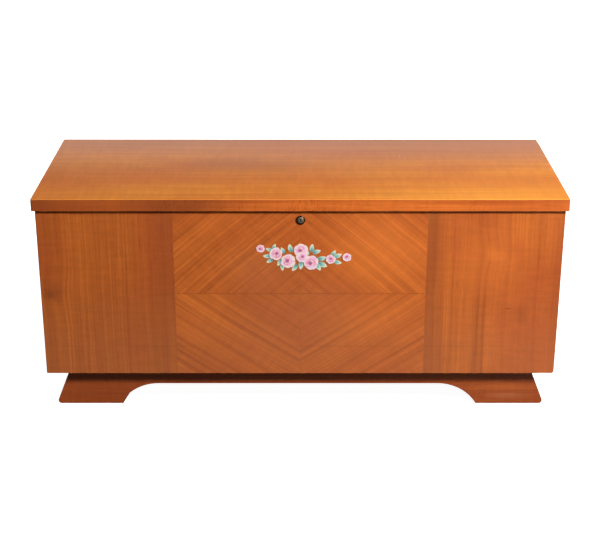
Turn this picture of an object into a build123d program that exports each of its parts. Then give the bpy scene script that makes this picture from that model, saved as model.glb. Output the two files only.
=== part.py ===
from build123d import *
import os
from math import atan2, degrees

# A veneered blanket chest: a cedar-lined box on a low bracket base, under a hinged lid.
# Units are millimetres.  The frame has +X to the right, +Y to the back and +Z up, and its
# origin is on the floor, under the centre of the chest's overall box (hinge barrels included).

# ---- driving dimensions ---------------------------------------------------------------------
LID_WIDTH = 1219.0
LID_DEPTH = 479.0
LID_THICK = 28.0
LID_OVERHANG = 7.0            # at the front and both ends; the back is flush
LID_GAP = 1.0                 # between the rim and the lid, partly filled by the seal
BODY_HEIGHT = 409.0
BASE_HEIGHT = 93.0
VENEER = 1.0
CORE = 12.0
LINING = 6.0
BOTTOM_THICK = 12.0
RABBET = 6.0                  # depth of the corner and bottom rabbets
HINGE_OUT = 3.5               # hinge axis behind the back face
BARREL_R = 3.2

# ---- derived planes -------------------------------------------------------------------------
RIM_Z = BASE_HEIGHT + BODY_HEIGHT
LID_Z = RIM_Z + LID_GAP
TOP_Z = LID_Z + LID_THICK
HALF_LID = LID_WIDTH / 2
HALF_BODY = HALF_LID - LID_OVERHANG
LID_FRONT = -(LID_DEPTH + HINGE_OUT + BARREL_R) / 2
FRONT = LID_FRONT + LID_OVERHANG
BACK = LID_FRONT + LID_DEPTH
HINGE_Y = BACK + HINGE_OUT
HINGE_Z = RIM_Z + LID_GAP / 2
WALL = VENEER + CORE + LINING
IN_X = HALF_BODY - WALL       # inside faces of the cedar lining
IN_FRONT = FRONT + WALL
IN_BACK = BACK - WALL
CORE_X = HALF_BODY - VENEER   # outside face of the end cores


def block(x0, x1, y0, y1, z0, z1):
    """A box between two corners."""
    box = Box(abs(x1 - x0), abs(y1 - y0), abs(z1 - z0))
    return Pos((x0 + x1) / 2, (y0 + y1) / 2, (z0 + z1) / 2) * box


def rod(start, end, radius):
    """A round bar from one point to another."""
    path = Vector(*end) - Vector(*start)
    plane = Plane(origin=start, z_dir=path.normalized())
    return extrude(plane * Circle(radius), path.length)


def rounded(solid, axis, corner, radius):
    """Rounds those edges of a box that run along an axis through one (first, second) corner."""
    others = [a for a in (Axis.X, Axis.Y, Axis.Z) if a != axis]
    edges = solid.edges().filter_by(axis)
    for other, side in zip(others, corner):
        edges = edges.group_by(other)[side]
    return fillet(edges, radius)


def flipped(shape):
    """The mirror image of a right-hand part, for the left end."""
    return mirror(shape, about=Plane.YZ)


# ---- fasteners ------------------------------------------------------------------------------
def screw(at, into, length, shank_r=1.7, head_r=3.4):
    """A slotted countersunk wood screw: its head is flush at a point, its shank goes into the wood."""
    head_h = head_r - shank_r
    tip_h = 2 * shank_r
    tip_r, slot_w, slot_d = 0.2, 0.9, 0.8
    outline = Polyline(
        (0, 0), (head_r, 0), (shank_r, -head_h), (shank_r, tip_h - length), (tip_r, -length),
        (0, -length), close=True)
    body = revolve(Plane.XZ * make_face(outline), Axis.Z)
    body -= Pos(0, 0, -slot_d / 2) * Box(3 * head_r, slot_w, slot_d)
    return Plane(origin=at, z_dir=-Vector(*into)).location * body


def reaches(one, other):
    """Whether the boxes round two shapes overlap."""
    a, b = one.bounding_box(), other.bounding_box()
    spans = (
        (a.min.X, a.max.X, b.min.X, b.max.X),
        (a.min.Y, a.max.Y, b.min.Y, b.max.Y),
        (a.min.Z, a.max.Z, b.min.Z, b.max.Z))
    return all(low_b < high_a and low_a < high_b for low_a, high_a, low_b, high_b in spans)


def without(shape, tools):
    """Cuts those tools that reach into a shape out of it."""
    for tool in tools:
        if reaches(shape, tool):
            shape = shape - tool
    return shape


# ---- box walls ------------------------------------------------------------------------------
SEAM_X = 291.0                # seams between the side fields and the matched centre
SEAM_Z = BASE_HEIGHT + 205.0  # level seam of the four-way match
CORNER_R = 2.0                # upright front corners
FOOT_R_LEFT = 3.0             # lower corner at the left end
FOOT_R_RIGHT = 7.0            # lower corner at the right end, which is worn rounder


def body_envelope():
    """The outside of the box with its eased corners, which every outer piece is trimmed to."""
    size = (-HALF_BODY, HALF_BODY, FRONT, BACK, BASE_HEIGHT, RIM_Z)
    upright = rounded(block(*size), Axis.Z, (0, 0), CORNER_R)
    upright = rounded(upright, Axis.Z, (-1, 0), CORNER_R)
    ends = rounded(block(*size), Axis.Y, (0, 0), FOOT_R_LEFT)
    ends = rounded(ends, Axis.Y, (-1, 0), FOOT_R_RIGHT)
    return upright & ends


def front_veneers():
    """Two upright-grain side fields and four diagonal leaves matched about the centre."""
    fields = {
        "front_veneer_left": (-HALF_BODY, -SEAM_X, BASE_HEIGHT, RIM_Z),
        "front_veneer_right": (SEAM_X, HALF_BODY, BASE_HEIGHT, RIM_Z),
        "front_veneer_upper_left": (-SEAM_X, 0, SEAM_Z, RIM_Z),
        "front_veneer_upper_right": (0, SEAM_X, SEAM_Z, RIM_Z),
        "front_veneer_lower_left": (-SEAM_X, 0, BASE_HEIGHT, SEAM_Z),
        "front_veneer_lower_right": (0, SEAM_X, BASE_HEIGHT, SEAM_Z),
    }
    return {
        name: block(x0, x1, FRONT, FRONT + VENEER, z0, z1)
        for name, (x0, x1, z0, z1) in fields.items()}


def end_veneers():
    """One upright leaf on each end, behind the front leaves."""
    leaf = block(CORE_X, HALF_BODY, FRONT + VENEER, BACK, BASE_HEIGHT, RIM_Z)
    return {"right_end_veneer": leaf, "left_end_veneer": flipped(leaf)}


def bottom_panel():
    """A plywood bottom, let into the rabbets round the walls."""
    edge = CORE_X - CORE + RABBET
    return block(
        -edge, edge, FRONT + VENEER + CORE - RABBET, BACK - VENEER - CORE + RABBET,
        BASE_HEIGHT, BASE_HEIGHT + BOTTOM_THICK)


def wall_cores():
    """Front and back boards, rabbeted to take the end boards, and all four over the bottom."""
    inner_front = FRONT + VENEER + CORE
    inner_back = BACK - VENEER - CORE
    end = block(
        CORE_X - CORE, CORE_X, inner_front - RABBET, inner_back + RABBET, BASE_HEIGHT, RIM_Z)
    front = block(-CORE_X, CORE_X, FRONT + VENEER, inner_front, BASE_HEIGHT, RIM_Z)
    back = block(-CORE_X, CORE_X, inner_back, BACK, BASE_HEIGHT, RIM_Z)
    bottom = bottom_panel()
    ends = [end, flipped(end)]
    return {
        "front_core": without(front, ends) - bottom,
        "back_wall": without(back, ends) - bottom,
        "right_end_core": end - bottom,
        "left_end_core": flipped(end) - bottom,
    }


# ---- cedar lining ---------------------------------------------------------------------------
TONGUE_W, TONGUE_H = 2.0, 4.0
TONGUE_GAP = 0.15
BOARD_V = 0.8                 # bevel that shows as a V between two boards


def board_outline(height, thick, first, last):
    """Section of one tongue-and-groove board: a groove at 0, unless first, a tongue at the top."""
    mid = thick / 2
    tongue, groove = TONGUE_W / 2, TONGUE_W / 2 + TONGUE_GAP
    points = [(0, 0)]
    if not first:
        deep = TONGUE_H + 2 * TONGUE_GAP
        points += [(mid - groove, 0), (mid - groove, deep), (mid + groove, deep), (mid + groove, 0)]
    points += [(thick - BOARD_V, 0), (thick, BOARD_V)]
    points += [(thick, height - BOARD_V), (thick - BOARD_V, height)]
    if not last:
        up = height + TONGUE_H
        points += [(mid + tongue, height), (mid + tongue, up), (mid - tongue, up)]
        points += [(mid - tongue, height)]
    points.append((0, height))
    return make_face(Polyline(*points, close=True))


def boards(origin, thick_dir, stack_dir, thick, length, height, count):
    """A panel of matched boards, stacked from an origin at the end where their length starts."""
    x_dir, y_dir = Vector(*thick_dir), Vector(*stack_dir)
    z_dir = x_dir.cross(y_dir)
    each = height / count
    made = []
    for i in range(count):
        corner = Vector(*origin) + y_dir * (each * i)
        plane = Plane(origin=corner, x_dir=x_dir, z_dir=z_dir)
        section = board_outline(each, thick, i == 0, i == count - 1)
        made.append(extrude(plane * section, length))
    return made


def linings():
    """Red cedar boards on all four walls and the floor."""
    low = BASE_HEIGHT + BOTTOM_THICK
    high = RIM_Z - low
    wide = 2 * (IN_X + LINING)
    deep = IN_BACK - IN_FRONT
    return {
        "lining_front": boards(
            (-wide / 2, IN_FRONT - LINING, low), (0, 1, 0), (0, 0, 1), LINING, wide, high, 3),
        "lining_back": boards(
            (wide / 2, IN_BACK + LINING, low), (0, -1, 0), (0, 0, 1), LINING, wide, high, 3),
        "lining_left": boards(
            (-IN_X - LINING, IN_BACK, low), (1, 0, 0), (0, 0, 1), LINING, deep, high, 3),
        "lining_right": boards(
            (IN_X + LINING, IN_FRONT, low), (-1, 0, 0), (0, 0, 1), LINING, deep, high, 3),
        "lining_floor": boards(
            (IN_X, IN_FRONT, low), (0, 0, 1), (0, 1, 0), LINING, 2 * IN_X, deep, 4),
    }


# ---- bracket base ---------------------------------------------------------------------------
BASE_SET_BACK = 25.0          # front rail behind the front face
BASE_REAR_SET_BACK = 12.0
RAIL_THICK = 19.0
RAIL_TOP_X = 551.0            # half length of the front rail at its top
RAIL_FOOT_X = 588.0           # and at the floor: its ends splay outward
FOOT_CORNER_R = 8.0
RIGHT_FOOT_IN_X = 424.0       # inner corner of each foot on the floor
LEFT_FOOT_IN_X = 428.0
APRON_Z = 53.5                # underside of the apron between the feet
RIGHT_ARC_X = 330.0           # where the right foot's curve leaves the apron
LEFT_ARC_X = 341.0            # and the left foot's, which ends in a straight bevel
LEFT_BEVEL = (411.0, 28.0)
SIDE_RAIL_X = 543.0
SIDE_RAIL_Z = 38.0
CORNER_BLOCK_LEG = 55.0
CORNER_BLOCK_H = 50.0
BASE_SCREW_BITE = 9.0         # how far the base's screws go up into the bottom
BASE_SCREW_R, BASE_SCREW_HEAD_R = 2.2, 4.4


def rail_with_feet(y_front):
    """The long rail, cut in one piece with its two splayed feet."""
    bevel_x, bevel_z = LEFT_BEVEL
    with BuildSketch(Plane.XZ.offset(-y_front)) as sketch:
        with BuildLine():
            Polyline(
                (-bevel_x, bevel_z), (-LEFT_FOOT_IN_X, 0), (-RAIL_FOOT_X, 0),
                (-RAIL_TOP_X, BASE_HEIGHT), (RAIL_TOP_X, BASE_HEIGHT), (RAIL_FOOT_X, 0),
                (RIGHT_FOOT_IN_X, 0))
            TangentArc((RIGHT_ARC_X, APRON_Z), (RIGHT_FOOT_IN_X, 0), tangent=(1, 0))
            Line((RIGHT_ARC_X, APRON_Z), (-LEFT_ARC_X, APRON_Z))
            TangentArc((-LEFT_ARC_X, APRON_Z), (-bevel_x, bevel_z), tangent=(-1, 0))
        make_face()
        by_x = sketch.vertices().group_by(Axis.X)
        fillet([by_x[0][0], by_x[-1][0]], FOOT_CORNER_R)
    return extrude(sketch.sketch, -RAIL_THICK)


def base_screw(at, through):
    """A heavier screw, up through a block or batten of some thickness into the bottom."""
    return screw(at, (0, 0, 1), through + BASE_SCREW_BITE, BASE_SCREW_R, BASE_SCREW_HEAD_R)


def base_parts():
    """Front and rear rails with feet, plain side rails, and glue blocks in the corners."""
    front_y = FRONT + BASE_SET_BACK
    rear_y = BACK - BASE_REAR_SET_BACK - RAIL_THICK
    inner_front = front_y + RAIL_THICK
    side = block(
        SIDE_RAIL_X - RAIL_THICK, SIDE_RAIL_X, inner_front, rear_y, SIDE_RAIL_Z, BASE_HEIGHT)
    corner_x = SIDE_RAIL_X - RAIL_THICK
    low = BASE_HEIGHT - CORNER_BLOCK_H
    glue_blocks, screws = [], []
    for y, inward in ((inner_front, 1), (rear_y, -1)):
        corner = Polyline(
            (corner_x, y), (corner_x - CORNER_BLOCK_LEG, y),
            (corner_x, y + inward * CORNER_BLOCK_LEG), close=True)
        prism = extrude(Pos(0, 0, low) * make_face(corner), CORNER_BLOCK_H, dir=(0, 0, 1))
        at = (corner_x - CORNER_BLOCK_LEG / 3, y + inward * CORNER_BLOCK_LEG / 3, low)
        fixing = base_screw(at, CORNER_BLOCK_H)
        glue_blocks += [prism, flipped(prism)]
        screws += [fixing, flipped(fixing)]
    return {
        "front_base_rail": [rail_with_feet(front_y)],
        "rear_base_rail": [rail_with_feet(rear_y)],
        "right_base_rail": [side],
        "left_base_rail": [flipped(side)],
        "base_corner_blocks": [without(b, screws) for b in glue_blocks],
        "base_screws": screws,
    }


# ---- battens under the bottom ---------------------------------------------------------------
BATTEN_X = 260.0
BATTEN_W, BATTEN_H = 44.0, 19.0
BATTEN_SCREW_IN = 40.0        # end screws in from the rails


def battens():
    """Two battens across the underside of the bottom, between the long rails."""
    front_y = FRONT + BASE_SET_BACK + RAIL_THICK
    rear_y = BACK - BASE_REAR_SET_BACK - RAIL_THICK
    low = BASE_HEIGHT - BATTEN_H
    bars, screws = [], []
    for x in (-BATTEN_X, BATTEN_X):
        bar = block(x - BATTEN_W / 2, x + BATTEN_W / 2, front_y, rear_y, low, BASE_HEIGHT)
        fixings = [
            base_screw((x, y, low), BATTEN_H)
            for y in (front_y + BATTEN_SCREW_IN, (front_y + rear_y) / 2, rear_y - BATTEN_SCREW_IN)]
        bars.append(without(bar, fixings))
        screws += fixings
    return bars, screws


# ---- lid ------------------------------------------------------------------------------------
LID_VENEER = 1.0
EDGE_BAND = 6.0
LID_CORNER_R = 3.0
LID_EASE = 1.4
PANEL_IN_X = 38.0             # cedar panel in from the inside of the end linings
PANEL_IN_FRONT = 32.0
PANEL_IN_BACK = 14.0
PANEL_THICK = 5.0
FRAME_W, FRAME_H = 8.0, 8.0   # quarter-round fillets that frame the panel
SEAL_W, SEAL_H = 6.0, 0.8


def lid_envelope():
    """The outside of the lid with its eased edges."""
    whole = block(-HALF_LID, HALF_LID, LID_FRONT, BACK, LID_Z, TOP_Z)
    whole = rounded(whole, Axis.Z, (0, 0), LID_CORNER_R)
    whole = rounded(whole, Axis.Z, (-1, 0), LID_CORNER_R)
    return fillet(whole.edges().group_by(Axis.Z)[-1], LID_EASE)


def fillet_strip(start, end, inward):
    """One quarter-round strip under the lid, mitred at both ends towards the panel it frames."""
    along = Vector(*end) - Vector(*start)
    x_dir = Vector(*inward)
    up = along.normalized().cross(x_dir)
    side = -1 if up.Z > 0 else 1
    corner = Polyline((0, 0), (FRAME_W, 0), (FRAME_W, side * FRAME_H))
    curve = TangentArc((0, 0), (FRAME_W, side * FRAME_H), tangent=(0, side))
    plane = Plane(origin=start, x_dir=x_dir, z_dir=along.normalized())
    section = plane * make_face([*corner.edges(), *curve.edges()])
    return extrude(section, along.length)


def lid_parts():
    """The board, its veneered top and edges, and the cedar panel and seal below."""
    shape = lid_envelope()
    edge_x = HALF_LID - EDGE_BAND
    board_top = TOP_Z - LID_VENEER
    side = block(edge_x, HALF_LID, LID_FRONT + EDGE_BAND, BACK, LID_Z, board_top)
    front = block(-HALF_LID, HALF_LID, LID_FRONT, LID_FRONT + EDGE_BAND, LID_Z, board_top)
    top = block(-HALF_LID, HALF_LID, LID_FRONT, BACK, board_top, TOP_Z)
    core = block(-edge_x, edge_x, LID_FRONT + EDGE_BAND, BACK, LID_Z, board_top)
    panel_x = IN_X - PANEL_IN_X
    panel_front, panel_back = IN_FRONT + PANEL_IN_FRONT, IN_BACK - PANEL_IN_BACK
    panel = boards(
        (panel_x, panel_back, LID_Z), (0, 0, -1), (0, -1, 0), PANEL_THICK, 2 * panel_x,
        panel_back - panel_front, 3)
    return {
        "lid_core": [core & shape],
        "lid_top_veneer": [top & shape],
        "lid_edge_front": [front & shape],
        "lid_edge_right": [side & shape],
        "lid_edge_left": [flipped(side) & shape],
        "lid_lining": panel,
        "lid_lining_frame": panel_frame(panel_x, panel_front, panel_back),
        "lid_seal": seal(),
    }


def panel_frame(panel_x, panel_front, panel_back):
    """Four quarter-round fillets with mitred corners."""
    outer_x = panel_x + FRAME_W
    outer_front, outer_back = panel_front - FRAME_W, panel_back + FRAME_W
    middle = (panel_front + panel_back) / 2
    front = fillet_strip((-outer_x, outer_front, LID_Z), (outer_x, outer_front, LID_Z), (0, 1, 0))
    back = fillet_strip((-outer_x, outer_back, LID_Z), (outer_x, outer_back, LID_Z), (0, -1, 0))
    right = fillet_strip((outer_x, outer_front, LID_Z), (outer_x, outer_back, LID_Z), (-1, 0, 0))
    half_deep = (outer_back - outer_front) / 2
    reach = 2 * FRAME_W
    wedge = Polyline(
        (outer_x + 1, outer_front - 1), (outer_x + 1, outer_back + 1),
        (outer_x - reach, outer_back - reach), (outer_x - reach, outer_front + reach), close=True)
    corner_zone = extrude(Pos(0, 0, LID_Z - 2 * FRAME_H) * make_face(wedge), 3 * FRAME_H, dir=(0, 0, 1))
    right = right & corner_zone
    left_zone = flipped(corner_zone)
    front = front - corner_zone - left_zone
    back = back - corner_zone - left_zone
    return [front, back, right, flipped(right)]


def seal():
    """A thin felt strip along the front and ends, over the rim."""
    x = HALF_BODY - WALL / 2
    y = FRONT + WALL / 2
    half = SEAL_W / 2
    low = LID_Z - SEAL_H
    side = block(x - half, x + half, y + half, BACK - WALL, low, LID_Z)
    front = block(-x - half, x + half, y - half, y + half, low, LID_Z)
    return [front, side, flipped(side)]


# ---- butt hinges ----------------------------------------------------------------------------
HINGE_X = 400.0
HINGE_LENGTH = 63.0
LEAF_THICK = 1.6
LEAF_DEPTH = 12.0
LEAF_GAP = 0.4
KNUCKLES = 5
KNUCKLE_GAP = 0.3
HINGE_PIN_R = 1.25
PIN_HEAD_R, PIN_HEAD_T, PIN_HEAD_EASE = 2.0, 1.2, 0.6
PIN_CLEARANCE = 0.06
HINGE_SCREWS = (-23.0, 0.0, 23.0)
HARDWARE_SCREW = 11.0
MORTISE_PLAY = 0.2
LEAF_IN = 0.1                 # leaf's edge in from the back face
KNUCKLE_ROOT = 2.0            # where the knuckles join the leaf


def knuckle(x0, x1, slab_z0, slab_z1, bore_r):
    """One rolled knuckle, joined to its leaf's slab."""
    ring = rod((x0, HINGE_Y, HINGE_Z), (x1, HINGE_Y, HINGE_Z), BARREL_R)
    arm = block(x0, x1, BACK - KNUCKLE_ROOT, HINGE_Y, slab_z0, slab_z1)
    return ring + arm - rod((x0 - 1, HINGE_Y, HINGE_Z), (x1 + 1, HINGE_Y, HINGE_Z), bore_r)


def hinge_leaf(x, upper):
    """The lid's leaf, with the even knuckles, or the body's, with the odd ones."""
    sign = 1 if upper else -1
    near, far = HINGE_Z + sign * LEAF_GAP / 2, HINGE_Z + sign * (LEAF_GAP / 2 + LEAF_THICK)
    low, high = min(near, far), max(near, far)
    half = HINGE_LENGTH / 2
    leaf = block(x - half, x + half, BACK - LEAF_DEPTH, BACK - LEAF_IN, low, high)
    pitch = HINGE_LENGTH / KNUCKLES
    bore_r = HINGE_PIN_R + (PIN_CLEARANCE if upper else 0)
    for i in range(1 if upper else 0, KNUCKLES, 2):
        x0 = x - half + i * pitch
        leaf += knuckle(x0 + KNUCKLE_GAP / 2, x0 + pitch - KNUCKLE_GAP / 2, low, high, bore_r)
    return leaf


def hinge_pin(x):
    """A pin with a domed head at each end."""
    half = HINGE_LENGTH / 2
    y, z = HINGE_Y, HINGE_Z
    cap = rod((x + half, y, z), (x + half + PIN_HEAD_T, y, z), PIN_HEAD_R)
    cap = fillet(cap.edges().group_by(Axis.X)[-1], PIN_HEAD_EASE)
    pin = rod((x - half, y, z), (x + half, y, z), HINGE_PIN_R)
    return pin + cap + mirror(cap, about=Plane.YZ.offset(x))


def leaf_mortise(x, upper):
    """The shallow pocket that a leaf is let into."""
    half = HINGE_LENGTH / 2 + MORTISE_PLAY
    near = BACK - LEAF_DEPTH - MORTISE_PLAY
    surface = LID_Z if upper else RIM_Z
    depth = LEAF_THICK + LEAF_GAP / 2 - LID_GAP / 2
    end = surface + depth if upper else surface - depth
    return block(x - half, x + half, near, BACK + 1, min(surface, end), max(surface, end))


def hinge_screws(x, upper):
    """Three screws through a leaf."""
    sign = 1 if upper else -1
    z = HINGE_Z + sign * LEAF_GAP / 2
    y = BACK - LEAF_DEPTH / 2
    return [screw((x + dx, y, z), (0, 0, sign), HARDWARE_SCREW) for dx in HINGE_SCREWS]


# ---- folding lid stays ----------------------------------------------------------------------
# Each stay and the line from the hinge to its lid pivot make a parallelogram, so both arms turn
# exactly as far as the lid does.
WALL_PIVOT = (-75.0, -130.0)  # from the hinge axis, in Y and Z
LID_PIVOT = (-150.0, -14.0)
STAY_THICK = 2.0
STAY_GAP = 0.3
ARM_R = 7.0                   # round ends of the arms
ARM_WAIST = 5.0
RIVET_R = 2.5
RIVET_CLEARANCE = 0.08
RIVET_HEAD_R = 5.0
RIVET_HEAD_T = 1.2
RIVET_EASE = 0.8
RIVET_PLAY = 0.1              # under the head that a loose arm turns against
PLATE_X = IN_X - STAY_THICK
LOWER_X = PLATE_X - STAY_GAP - STAY_THICK
UPPER_X = LOWER_X - STAY_GAP - STAY_THICK
BRACKET_X = UPPER_X - STAY_GAP - STAY_THICK
BRACKET_FOOT = 18.0
BRACKET_LENGTH = 64.0
BRACKET_TIP = 4.0             # height of the bracket's flange at its ends
BRACKET_EAR = 7.0             # half width of the flange round its rivet
BRACKET_SCREW_OUT = 24.0
PLATE_W, PLATE_H, PLATE_CORNER_R = 24.0, 66.0, 8.0
PLATE_SCREW_OUT = 22.0


def stay_points():
    """The wall pivot, knee and lid pivot in Y and Z, with the lid closed."""
    hinge = (HINGE_Y, HINGE_Z)
    wall = (hinge[0] + WALL_PIVOT[0], hinge[1] + WALL_PIVOT[1])
    lid = (hinge[0] + LID_PIVOT[0], hinge[1] + LID_PIVOT[1])
    knee = (wall[0] + LID_PIVOT[0], wall[1] + LID_PIVOT[1])
    return wall, knee, lid


def side_plate(sketch, x):
    """Extrudes a sketch drawn in Y and Z into a plate that starts at x and goes to +X."""
    return extrude(Plane(origin=(x, 0, 0), x_dir=(0, 1, 0), z_dir=(1, 0, 0)) * sketch, STAY_THICK)


def disc(at, radius):
    return Pos(at[0], at[1]) * Circle(radius)


def stay_arm(x, start, end, start_hole, end_hole):
    """A flat arm with round ends and a slimmer waist."""
    path = Vector(*end) - Vector(*start)
    middle = (Vector(*start) + Vector(*end)) / 2
    turn = degrees(atan2(path.Y, path.X))
    waist = Box(STAY_THICK, path.length, 2 * ARM_WAIST)
    arm = Pos(x + STAY_THICK / 2, middle.X, middle.Y) * Rot(turn, 0, 0) * waist
    for y, z in (start, end):
        arm += rod((x, y, z), (x + STAY_THICK, y, z), ARM_R)
    for (y, z), hole_r in ((start, start_hole), (end, end_hole)):
        arm -= rod((x - 1, y, z), (x + STAY_THICK + 1, y, z), hole_r)
    return arm


def rivet(at, x_near, x_far):
    """A shank between two x planes with a low domed head on each end."""
    y, z = at
    shank = rod((x_near, y, z), (x_far, y, z), RIVET_R)
    inner = rod((x_near, y, z), (x_near - RIVET_HEAD_T, y, z), RIVET_HEAD_R)
    outer = rod((x_far, y, z), (x_far + RIVET_HEAD_T, y, z), RIVET_HEAD_R)
    inner = fillet(inner.edges().group_by(Axis.X)[0], RIVET_EASE)
    outer = fillet(outer.edges().group_by(Axis.X)[-1], RIVET_EASE)
    return shank + inner + outer


def wall_rivet(at):
    """The wall plate's rivet, which ends flush at the back of its plate."""
    y, z = at
    near = LOWER_X - RIVET_PLAY
    head = rod((near, y, z), (near - RIVET_HEAD_T, y, z), RIVET_HEAD_R)
    head = fillet(head.edges().group_by(Axis.X)[0], RIVET_EASE)
    return head + rod((near, y, z), (IN_X, y, z), RIVET_R)


def wall_plate(wall):
    """The plate on the lining that the lower arm turns on, and its screws."""
    plate = Pos(*wall) * RectangleRounded(PLATE_W, PLATE_H, PLATE_CORNER_R) - disc(wall, RIVET_R)
    screws = [
        screw((PLATE_X, wall[0], wall[1] + dz), (1, 0, 0), HARDWARE_SCREW)
        for dz in (-PLATE_SCREW_OUT, PLATE_SCREW_OUT)]
    return without(side_plate(plate, PLATE_X), screws), screws


def lid_bracket(lid):
    """The angle bracket under the lid that the upper arm turns on, and its screws."""
    y, z = lid
    half = BRACKET_LENGTH / 2
    tip_z, ear_z = LID_Z - BRACKET_TIP, z - BRACKET_TIP
    flange = make_face(Polyline(
        (y - half, LID_Z), (y - half, tip_z), (y - BRACKET_EAR, ear_z), (y + BRACKET_EAR, ear_z),
        (y + half, tip_z), (y + half, LID_Z), close=True))
    flange = flange + disc(lid, ARM_R + 1) - disc(lid, RIVET_R)
    foot_x, foot_z = BRACKET_X - BRACKET_FOOT, LID_Z - STAY_THICK
    bracket = side_plate(flange, BRACKET_X)
    bracket += block(foot_x, BRACKET_X + STAY_THICK, y - half, y + half, foot_z, LID_Z)
    foot_mid = foot_x + BRACKET_FOOT / 2 - 1
    screws = [
        screw((foot_mid, y + dy, foot_z), (0, 0, 1), HARDWARE_SCREW)
        for dy in (-BRACKET_SCREW_OUT, BRACKET_SCREW_OUT)]
    return without(bracket, screws), screws


def stay_parts():
    """All parts of the right-hand stay."""
    wall, knee, lid = stay_points()
    loose = RIVET_R + RIVET_CLEARANCE
    plate, plate_screws = wall_plate(wall)
    bracket, bracket_screws = lid_bracket(lid)
    return {
        "wall_plate": plate,
        "wall_rivet": wall_rivet(wall),
        "wall_screws": plate_screws,
        "lower_arm": stay_arm(LOWER_X, wall, knee, loose, RIVET_R),
        "knee_rivet": rivet(knee, UPPER_X - RIVET_PLAY, LOWER_X + STAY_THICK),
        "upper_arm": stay_arm(UPPER_X, knee, lid, loose, loose),
        "lid_bracket": bracket,
        "lid_rivet": rivet(lid, BRACKET_X, UPPER_X + STAY_THICK + RIVET_PLAY),
        "lid_screws": bracket_screws,
    }


# ---- push-button lock -----------------------------------------------------------------------
LOCK_X = 0.8
LOCK_Z = TOP_Z - 51.8
BEZEL_R = 11.0
BEZEL_PROUD = 1.8
BEZEL_EASE = 1.2
LOCK_TUBE_R = 9.0
BUTTON_R = 7.2
BUTTON_CLEARANCE = 0.08
BUTTON_PROUD = 3.3
BUTTON_EASE = 2.0
SHOULDER_Y = 6.0              # back of the button's head, from the front face
NOSE_R = 4.0
NOSE_END = WALL + 0.4
NOSE_EASE = 0.8
TUBE_FLOOR = 2.5
PLUG_R = 4.5
PLUG_DEPTH = 7.0
PLUG_EASE = 0.3
PLUG_CLEARANCE, PLUG_END_GAP = 0.06, 0.2
KEYWAY_W, KEYWAY_H, KEYWAY_D = 2.0, 7.0, 5.0
KEYWAY_TILT = -14.0           # the key slot leans a little, with its top to the left
SPRING_R, SPRING_WIRE = 5.6, 0.4
SPRING_TURNS = 4.5
SPRING_PLAY = 0.05
STRIKE_GAP = 2.2
STRIKE_THICK = 2.0
STRIKE_HALF = 9.0
STRIKE_FOOT = 20.0
STRIKE_FOOT_HALF = 16.0
STRIKE_DROP = 8.5             # the tab's end below the lock's axis
STRIKE_HOLE_PLAY = 0.6
STRIKE_TAB_R, STRIKE_FOOT_R = 5.0, 4.0
STRIKE_SCREW_OUT = 10.0
COVER_DEPTH = 9.0
COVER_HALF = 14.0
COVER_BELOW, COVER_ABOVE = 14.0, 12.0
COVER_WALL = 1.5
COVER_CORNER_R = 2.5
EAR_REACH, EAR_H, EAR_R = 12.0, 18.0, 5.0
EAR_BELOW = 5.0               # middle of the ears below the lock's axis


def lock_rod(y0, y1, radius):
    """A round bar on the lock's axis, between two depths behind the front face."""
    return rod((LOCK_X, FRONT + y0, LOCK_Z), (LOCK_X, FRONT + y1, LOCK_Z), radius)


def lock_bezel():
    """A flanged tube with a domed face, through the front wall."""
    face = lock_rod(-BEZEL_PROUD, 0, BEZEL_R)
    face = fillet(face.edges().group_by(Axis.Y)[0], BEZEL_EASE)
    body = face + lock_rod(0, WALL, LOCK_TUBE_R)
    body -= lock_rod(-BEZEL_PROUD, WALL - TUBE_FLOOR, BUTTON_R + BUTTON_CLEARANCE)
    return body - lock_rod(0, WALL + 1, NOSE_R + BUTTON_CLEARANCE)


def lock_button():
    """The button's head and its nose, which pins the strike when it is pushed in."""
    head = lock_rod(-BUTTON_PROUD, SHOULDER_Y, BUTTON_R)
    head = fillet(head.edges().group_by(Axis.Y)[0], BUTTON_EASE)
    nose = lock_rod(SHOULDER_Y, NOSE_END, NOSE_R)
    nose = fillet(nose.edges().group_by(Axis.Y)[-1], NOSE_EASE)
    bore_end = -BUTTON_PROUD + PLUG_DEPTH + PLUG_END_GAP
    bore = lock_rod(-BUTTON_PROUD - 1, bore_end, PLUG_R + PLUG_CLEARANCE)
    return head + nose - bore


def key_plug():
    """The plug that the key turns, with its slot."""
    plug = lock_rod(-BUTTON_PROUD, -BUTTON_PROUD + PLUG_DEPTH, PLUG_R)
    plug = chamfer(plug.edges().group_by(Axis.Y)[0], PLUG_EASE)
    slot = Box(KEYWAY_W, 2 * KEYWAY_D, KEYWAY_H)
    return plug - Pos(LOCK_X, FRONT - BUTTON_PROUD, LOCK_Z) * Rot(0, KEYWAY_TILT, 0) * slot


def lock_spring():
    """A light coil between the button's head and the floor of the tube."""
    start = SHOULDER_Y + SPRING_WIRE + SPRING_PLAY
    end = WALL - TUBE_FLOOR - SPRING_WIRE - SPRING_PLAY
    path = Helix((end - start) / SPRING_TURNS, end - start, SPRING_R)
    wire = sweep(Plane(origin=path @ 0, z_dir=path % 0) * Circle(SPRING_WIRE), path)
    plane = Plane(origin=(LOCK_X, FRONT + start, LOCK_Z), x_dir=(1, 0, 0), z_dir=(0, 1, 0))
    return plane.location * wire


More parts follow.
